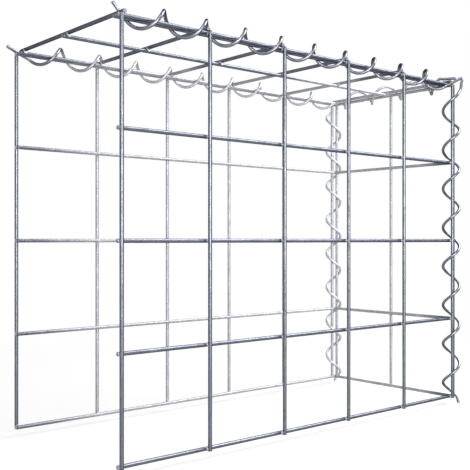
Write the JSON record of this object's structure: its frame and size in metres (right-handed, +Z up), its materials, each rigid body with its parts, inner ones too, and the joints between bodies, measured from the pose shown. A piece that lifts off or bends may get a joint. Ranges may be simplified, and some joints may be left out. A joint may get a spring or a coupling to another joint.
{
  "type": "gabion basket",
  "caption": "Open-ended, bottomless welded wire mesh gabion bay with a lid, laced along its edges by wire spirals, for holding stones.",
  "frame": {"origin": "centre of the cropped foot of the front panel's first upright, at the open end", "axes": "+X along the basket from the open end to the end panel, +Y from the front panel to the back panel, +Z up to the lid"},
  "size_m": [0.5277, 0.2326, 0.4272],
  "materials": {
    "mesh_wire": "hot-dip galvanised steel wire, dull bluish zinc",
    "lacing_wire": "galvanised steel wire, slightly brighter zinc"
  },
  "bodies": {
    "root": {"front_upright_1": "mesh_wire", "front_upright_2": "mesh_wire", "front_upright_3": "mesh_wire", "front_upright_4": "mesh_wire", "front_upright_5": "mesh_wire", "front_upright_6": "mesh_wire", "front_rail_1": "mesh_wire", "front_rail_2": "mesh_wire", "front_rail_3": "mesh_wire", "front_rail_4": "mesh_wire", "front_rail_5": "mesh_wire", "back_upright_1": "mesh_wire", "back_upright_2": "mesh_wire", "back_upright_3": "mesh_wire", "back_upright_4": "mesh_wire", "back_upright_5": "mesh_wire", "back_upright_6": "mesh_wire", "back_rail_1": "mesh_wire", "back_rail_2": "mesh_wire", "back_rail_3": "mesh_wire", "back_rail_4": "mesh_wire", "back_rail_5": "mesh_wire", "end_upright_1": "mesh_wire", "end_upright_2": "mesh_wire", "end_upright_3": "mesh_wire", "end_rail_1": "mesh_wire", "end_rail_2": "mesh_wire", "end_rail_3": "mesh_wire", "end_rail_4": "mesh_wire", "end_rail_5": "mesh_wire", "lid_cross_1": "mesh_wire", "lid_cross_2": "mesh_wire", "lid_cross_3": "mesh_wire", "lid_cross_4": "mesh_wire", "lid_cross_5": "mesh_wire", "lid_cross_6": "mesh_wire", "lid_rail_1": "mesh_wire", "lid_rail_2": "mesh_wire", "lid_rail_3": "mesh_wire", "spiral_lid_front": "lacing_wire", "spiral_lid_back": "lacing_wire", "spiral_lid_end": "lacing_wire", "spiral_corner_front": "lacing_wire", "spiral_corner_back": "lacing_wire"}
  },
  "joints": []
}
